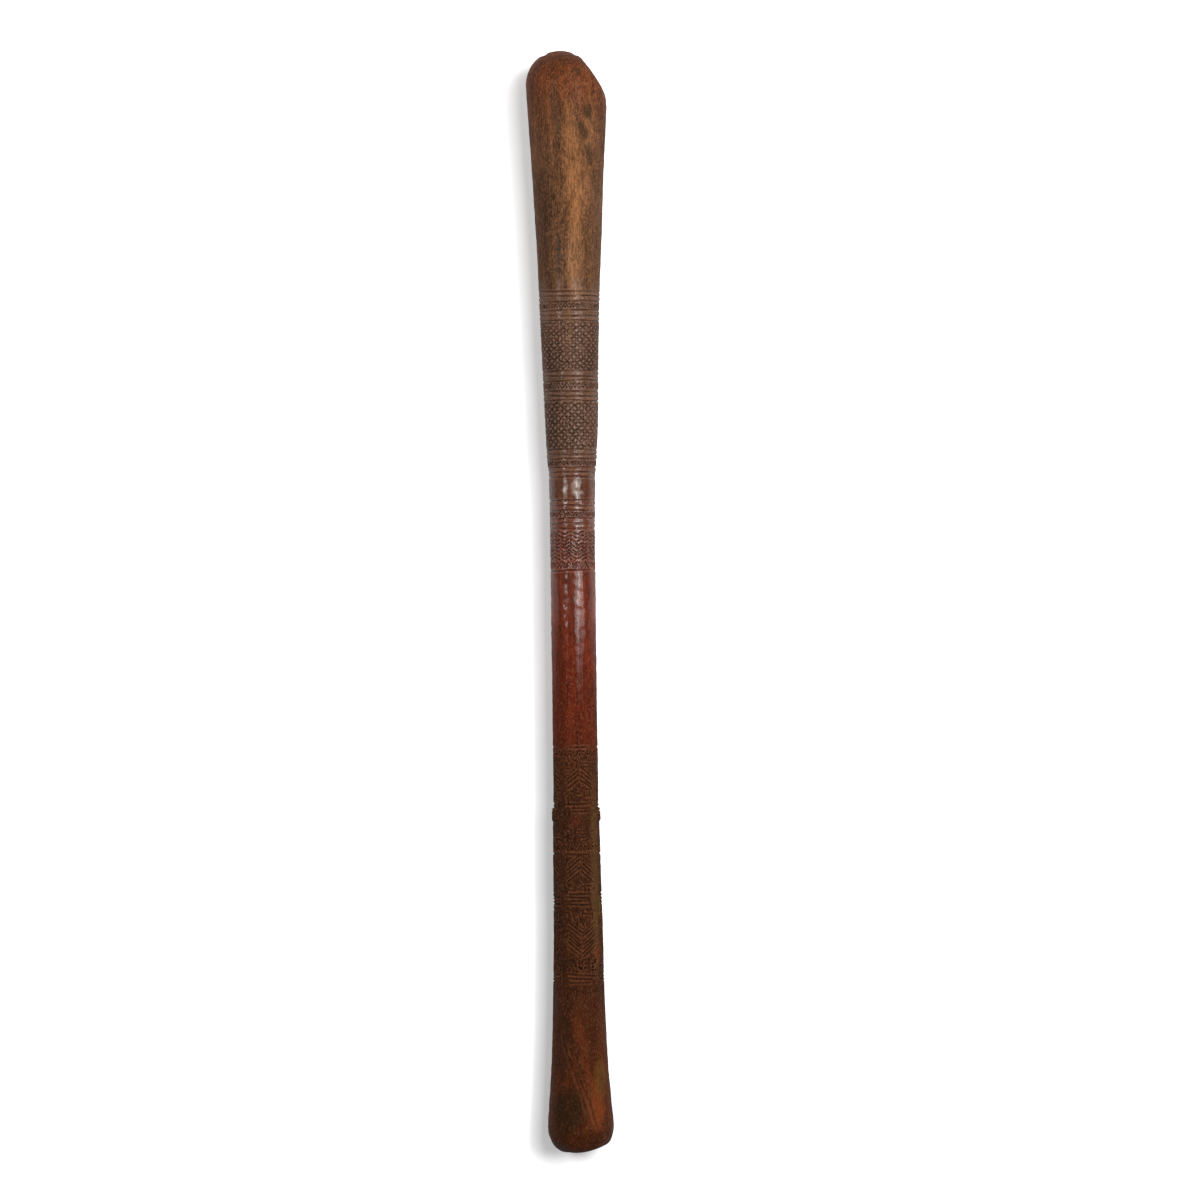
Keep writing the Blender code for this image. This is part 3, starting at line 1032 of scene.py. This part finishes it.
# Shares of the fibres, streaks, clouds and mottle in the grain.
GRAIN_SHARES = (0.24, 0.26, 0.22, 0.28)
# Shares of the length between which the look changes at the foot of the head and above the flare.
HEAD_BORDER = (0.772, 0.795)
FLARE_BORDER = (0.115, 0.165)
# How long the stretch is over which the dust of the lower carving ends below the grip.
DUST_EDGE = 0.012

# Tones of the wax by the cloudiness of its noise, and of the grime on it.
WAX_TONES = ((0.30, (92, 54, 22)), (0.50, (138, 88, 38)), (0.72, (168, 118, 60)))
GRIME_TONE = (58, 36, 18)


def grey(value):
    """A grey as the nodes take it."""
    return (value, value, value, 1.0)


def wood(values):
    """The wood's own share of an sRGB tone, as the nodes take it."""
    red, green, blue, _ = tone(*values)
    return (red * ALBEDO, green * ALBEDO, blue * ALBEDO, 1.0)


def surface_point(degrees, distance):
    """The point of the outline at an angle round the stick and a distance along it."""
    angle = math.radians(degrees)
    radius = float(smooth_curve(OUTLINE, distance))
    return FOOT + ALONG * distance + ACROSS * radius * math.sin(angle) + UP * radius * math.cos(angle)


def add_mark(graph, colour, place, ragged, mark):
    """A mark whose edge is broken up by the ragged value, which swings about 0."""
    degrees, distance, across, along, turn, values, strength = mark
    centre = surface_point(degrees, distance)
    spread = graph.blob(place, centre, (across, along, across), math.radians(turn))
    broken = graph.range(graph.plus(spread, ragged), 0.12, 1.05, 0.0, strength)
    return graph.mix(broken, colour, wood(values))


def wood_noises(graph, place):
    """Noises of the wood, by size: fibres, streaks, clouds and mottle."""
    fibres = graph.noise(graph.stretched(place, (760, 70, 760), 0.22), detail=4.0, roughness=0.70)
    streaks = graph.noise(graph.stretched(place, (170, 10, 170), 0.08), detail=4.0, distortion=0.5)
    clouds = graph.noise(graph.stretched(place, (30, 11, 30)), detail=5.0, roughness=0.62)
    mottle = graph.noise(graph.stretched(place, (680, 330, 680), 0.35), detail=4.0, roughness=0.75)
    return fibres, streaks, clouds, mottle


def grained(graph, noises, dark, light):
    """The wood's plain tone, which its noises pick between the darker and the lighter one."""
    parts = [graph.times(noise, share) for noise, share in zip(noises, GRAIN_SHARES)]
    grain = parts[0]
    for part in parts[1:]:
        grain = graph.plus(grain, part)
    return graph.mix(graph.range(grain, 0.40, 0.60), dark, light)


def marked(graph, colour, place, mottle):
    """The marks of wear, with the painted light and shade among them, and the flare's streaks, with
    their outlines warped and broken up.
    """
    warp = graph.noise(graph.stretched(place, (90, 60, 90)), detail=4.0, roughness=0.65, output="Color")
    moved = graph.node("VectorMath", {0: warp, 1: MARK_WARP, 2: place}, operation="MULTIPLY_ADD")
    half_back = [-size / 2 for size in MARK_WARP]
    warped = graph.stretched(moved, (1, 1, 1), 0.0, half_back)
    ragged = graph.times(graph.math("SUBTRACT", mottle, 0.5), 1.5)
    for mark in MARKS_AND_PAINTED_LIGHT:
        colour = add_mark(graph, colour, warped, ragged, mark)
    for *spot, strength in FLARE_STREAKS:
        mark = (*spot, STREAK_TURN, STREAK_TONE, strength)
        colour = add_mark(graph, colour, warped, ragged, mark)
    return colour


def checked(graph, colour, place):
    """Fine dark checks along the grain."""
    lines = graph.noise(graph.stretched(place, (210, 9, 210), 0.04, (3.1, 1.7, 0.4)))
    near = graph.math("ABSOLUTE", graph.math("SUBTRACT", lines, 0.5))
    return graph.mix(graph.range(near, 0.014, 0.002, 0.0, 0.55), colour, wood(CHECK_TONE))


def stroke_shade(graph, place, along):
    """Brightness of the slanting strokes and swaths left by tools, strongest on the head."""
    narrow = graph.stretched(place, (620, 120, 620), -0.45, (0.3, 2.1, 0.7))
    strokes = graph.noise(narrow, roughness=0.6)
    broad = graph.stretched(place, (75, 22, 75), -0.40, (4.2, 0.6, 1.9))
    swaths = graph.noise(broad, distortion=0.7)
    fine = graph.range(strokes, 0.36, 0.64, -0.32, 0.32)
    wide = graph.range(swaths, 0.34, 0.66, -0.24, 0.24)
    strength = graph.range(along, *HEAD_BORDER, 0.55, 1.0)
    shade = graph.times(graph.plus(fine, wide), strength)
    return graph.plus(shade, 1.0)


def speckled(graph, colour, along, polish, mottle):
    """Pale worn and dark sooty fibres, fewest where the wood is polished, strongest on the head."""
    unpolished = graph.range(polish, 0.9, 0.4)
    amount = graph.times(graph.range(along, *HEAD_BORDER, 0.42, 1.0), unpolished)
    amount = graph.times(graph.range(along, *FLARE_BORDER, 0.55, 1.0), amount)
    worn = graph.times(graph.range(mottle, 0.52, 0.70, 0.0, 0.50), amount)
    colour = graph.mix(worn, colour, wood(WORN_TONE))
    soot = graph.times(graph.range(mottle, 0.49, 0.32, 0.0, 0.62), amount)
    return graph.mix(soot, colour, wood(SOOT_TONE))


def knifed(graph, colour, light, dusty, clouds, mottle):
    """Pale ridges between the cuts, partly rubbed wear and partly painted highlight, and dark cuts and
    pits, painted shade with dust in the lower carving.
    """
    patches = graph.range(mottle, 0.35, 0.6, 0.1, 0.7)
    # Ridges painted paler: partly rubbed wear, partly painted highlight.
    ridge_wear_and_highlight = graph.times(graph.attribute("ridges"), patches)
    pale_ridge_and_highlight = graph.mix(0.40, light, wood(RIDGE_WEAR_AND_HIGHLIGHT_TONE))
    pale_ridge_and_highlight = graph.mix(dusty, pale_ridge_and_highlight, wood(DUSTY_RIDGE_WEAR_AND_HIGHLIGHT_TONE))
    colour = graph.mix(ridge_wear_and_highlight, colour, pale_ridge_and_highlight)
    dust = graph.times(dusty, graph.range(clouds, 0.40, 0.56))
    # Cuts painted darker: painted shade in the grooves, with real dust in the lower carving.
    filling = graph.mix(dust, wood(CUT_PAINTED_SHADE_TONE), wood(DUSTY_CUT_TONE))
    colour = graph.mix(graph.range(graph.attribute("cut"), 0.35, 1.20, 0.0, 0.66), colour, filling)
    # Pits painted nearly black: painted shade in the holes.
    return graph.mix(graph.range(graph.attribute("pits"), 0.15, 0.8), colour, wood(PIT_PAINTED_SHADE_TONE))


def set_gloss(graph, polish, clouds, mottle):
    """Dull wood under a patchy coat that grows with the polish."""
    dull = graph.range(polish, 0.0, 1.0, 0.80, 0.42)
    uneven = graph.range(clouds, 0.3, 0.7, -0.05, 0.08)
    patches = graph.range(mottle, 0.30, 0.55, 0.35, 1.0)
    coat = graph.times(graph.range(polish, 0.42, 1.0, 0.0, 0.27), patches)
    graph.look({"Specular IOR Level": 0.03, "Roughness": graph.plus(dull, uneven)})
    graph.look({"Coat Weight": coat, "Coat Roughness": 0.17, "Coat IOR": 1.8})


def set_relief(graph, place, polish, fibres, mottle):
    """Bumps of the dents, deepest where the wood is polished, of the fibres and of the mottle."""
    spread = graph.stretched(place, (150, 70, 150), 0.2, (1.2, 0.4, 2.2))
    dents = graph.noise(spread, detail=2.0, distortion=0.4)
    normal = graph.bump(graph.times(dents, graph.range(polish, 0.5, 1.0, 0.15, 1.0)), 0.0022)
    normal = graph.bump(fibres, 0.0003, normal)
    graph.look({"Normal": graph.bump(mottle, 0.0007, normal)})


def carved_wood():
    graph = Graph("carved_hardwood_look")
    place = graph.node("TexCoord", {}, "Object")
    along = graph.range(graph.node("SeparateXYZ", {0: place}, "Y"), FOOT.y, FOOT.y + LENGTH)
    dark = graph.ramp(along, [(distance / LENGTH, wood(low)) for distance, low, _ in WOOD_TONES])
    light = graph.ramp(along, [(distance / LENGTH, wood(high)) for distance, _, high in WOOD_TONES])
    polish = graph.ramp(along, [(distance / LENGTH, grey(share)) for distance, share in POLISH])
    dusty = graph.range(along, GRIP_START / LENGTH, (GRIP_START - DUST_EDGE) / LENGTH)
    noises = wood_noises(graph, place)
    fibres, _, clouds, mottle = noises

    colour = grained(graph, noises, dark, light)
    colour = marked(graph, colour, place, mottle)
    colour = checked(graph, colour, place)
    colour = graph.mix(1.0, colour, stroke_shade(graph, place, along), blend="MULTIPLY")
    colour = speckled(graph, colour, along, polish, mottle)
    graph.look({"Base Color": knifed(graph, colour, light, dusty, clouds, mottle)})
    set_gloss(graph, polish, clouds, mottle)
    set_relief(graph, place, polish, fibres, mottle)
    return graph.material


def beeswax():
    graph = Graph("beeswax_look")
    place = graph.node("TexCoord", {}, "Object")
    clouds = graph.noise(graph.stretched(place, (120, 90, 120)), detail=4.0)
    smears = graph.noise(graph.stretched(place, (380, 300, 380)), detail=3.0, distortion=0.6)
    colour = graph.ramp(clouds, [(share, tone(*values)) for share, values in WAX_TONES])
    grime = graph.range(smears, 0.52, 0.75, 0.0, 0.55)
    colour = graph.mix(grime, colour, tone(*GRIME_TONE))
    graph.look({"Base Color": colour, "Roughness": graph.range(smears, 0.3, 0.7, 0.45, 0.70)})
    graph.look({"Subsurface Weight": 0.15, "Subsurface Scale": 0.003})
    graph.look({"Normal": graph.bump(smears, 0.0003)})
    return graph.material


def floor_paint():
    graph = Graph("pale_floor")
    cloud = graph.noise(graph.node("TexCoord", {}, "Object"), scale=6.0)
    colour = graph.ramp(cloud, [(0.3, grey(0.90)), (0.7, grey(0.93))])
    graph.look({"Base Color": colour, "Roughness": 0.9, "Specular IOR Level": 0.1})
    return graph.material


# --- Studio ---

FLOOR_HALF_SIDE = 2.0
AMBIENT = 0.16

# The camera looks straight down. VIEW_WIDTH is what it sees across at VIEW_HEIGHT.
LENS_MM = 135.0
SENSOR_MM = 36.0
VIEW_WIDTH = 1.309
VIEW_CENTRE = (0.0288, 0.0017)
VIEW_HEIGHT = 0.045
CAMERA_TURN = math.radians(-0.80)


def build_floor():
    half = FLOOR_HALF_SIDE
    mesh = bpy.data.meshes.new("studio_floor")
    corners = [(-half, -half, 0.0), (half, -half, 0.0), (half, half, 0.0), (-half, half, 0.0)]
    mesh.from_pydata(corners, [], [(0, 1, 2, 3)])
    mesh.materials.append(floor_paint())
    floor = add("studio_floor", mesh)


def soft_box(name, place, target, width, length, watts):
    """A flat rectangular light whose length lies along the stick."""
    light = bpy.data.lights.new(name, "AREA")
    light.shape = "RECTANGLE"
    light.size = width
    light.size_y = length
    light.energy = watts
    back = (Vector(place) - Vector(target)).normalized()
    side = Vector((0.0, 1.0, 0.0)).cross(back).normalized()
    turn = Matrix((side, back.cross(side), back)).transposed()
    item = add(name, light)
    item.matrix_world = Matrix.Translation(place) @ turn.to_4x4()


def build_lights():
    soft_box("key", (1.62, 0.66, 2.78), (0.0, 0.06, 0.05), 2.60, 2.00, 155.0)
    soft_box("strip", (1.40, 0.66, 2.82), (0.0, 0.06, 0.05), 0.40, 1.80, 40.0)
    soft_box("fill", (-1.84, 0.95, 2.62), (0.0, 0.10, 0.05), 0.70, 1.75, 70.0)


def build_surroundings():
    """Weak light from all round, and a white backdrop that carries on the floor past its edge."""
    world = bpy.data.worlds.new("pale_studio")
    world.use_nodes = True
    nodes, links = world.node_tree.nodes, world.node_tree.links
    ambient = nodes["Background"]
    ambient.inputs["Color"].default_value = grey(1.0)
    ambient.inputs["Strength"].default_value = AMBIENT
    backdrop = nodes.new("ShaderNodeBackground")
    backdrop.inputs["Color"].default_value = grey(1.0)
    choice = nodes.new("ShaderNodeMixShader")
    links.new(nodes.new("ShaderNodeLightPath").outputs["Is Camera Ray"], choice.inputs["Fac"])
    links.new(ambient.outputs["Background"], choice.inputs[1])
    links.new(backdrop.outputs["Background"], choice.inputs[2])
    links.new(choice.outputs["Shader"], nodes["World Output"].inputs["Surface"])
    bpy.context.scene.world = world
    bpy.context.scene.view_settings.view_transform = "Standard"


def build_camera():
    """A long lens high above, turned so that the stick's bell end leans a little to the left."""
    data = bpy.data.cameras.new("camera")
    data.lens = LENS_MM
    data.sensor_width = SENSOR_MM
    data.clip_end = 50.0
    camera = add("camera", data)
    camera.location = (*VIEW_CENTRE, VIEW_WIDTH * LENS_MM / SENSOR_MM + VIEW_HEIGHT)
    camera.rotation_euler = (0.0, 0.0, CAMERA_TURN)
    bpy.context.scene.camera = camera


with open("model.json") as file:
    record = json.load(file)
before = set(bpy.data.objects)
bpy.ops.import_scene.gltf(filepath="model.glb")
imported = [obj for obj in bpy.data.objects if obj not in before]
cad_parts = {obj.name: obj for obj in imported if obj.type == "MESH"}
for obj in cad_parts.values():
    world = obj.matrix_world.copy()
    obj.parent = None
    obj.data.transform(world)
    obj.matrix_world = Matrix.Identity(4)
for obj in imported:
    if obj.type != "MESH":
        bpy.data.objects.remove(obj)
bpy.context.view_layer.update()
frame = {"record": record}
FOOT, ACROSS, ALONG, UP, LENGTH = stick_place()
build_camera()
build_lights()
build_surroundings()
build_floor()
build_body(carved_wood())
build_wax(beeswax())
